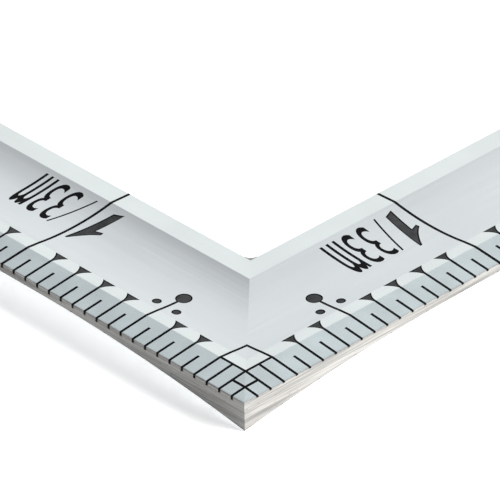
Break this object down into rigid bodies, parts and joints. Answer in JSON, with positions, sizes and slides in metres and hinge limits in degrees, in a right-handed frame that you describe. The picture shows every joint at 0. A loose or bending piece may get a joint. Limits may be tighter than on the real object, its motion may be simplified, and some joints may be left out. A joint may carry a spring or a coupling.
{
  "type": "carpenter's square",
  "caption": "Steel carpenter's square: two profiled blades at a right angle with a thick corner, black etched graduations on both faces.",
  "frame": {"origin": "the outer corner of the square at its lowest point, where the two outer edge faces and the underside of the thick corner meet", "axes": "+X along the long arm's outer edge, +Y along the short arm's outer edge, +Z out of the graduated front face"},
  "size_m": [0.31, 0.158, 0.0034],
  "materials": {
    "steel": "satin ground stainless steel with a fine matte bevel",
    "weld_steel": "ground flush with the arms",
    "front_enamel": "satin black enamel in etched recesses",
    "back_enamel": "satin black enamel in etched recesses"
  },
  "bodies": {
    "root": {"long_arm": "steel", "short_arm": "steel", "corner_weld": "weld_steel", "long_half_bu_marks": "front_enamel", "long_bu_marks": "front_enamel", "long_five_bu_marks": "front_enamel", "long_sun_lines": "front_enamel", "long_sun_numbers": "front_enamel", "long_unit_mark": "front_enamel", "long_back_unit_marks": "back_enamel", "long_back_five_marks": "back_enamel", "long_back_ten_lines": "back_enamel", "long_back_numbers": "back_enamel", "short_half_bu_marks": "front_enamel", "short_bu_marks": "front_enamel", "short_five_bu_marks": "front_enamel", "short_sun_lines": "front_enamel", "short_sun_numbers": "front_enamel", "short_unit_mark": "front_enamel", "short_back_unit_marks": "back_enamel", "short_back_five_marks": "back_enamel", "short_back_ten_lines": "back_enamel", "short_back_numbers": "back_enamel", "corner_grid": "front_enamel"}
  },
  "joints": []
}
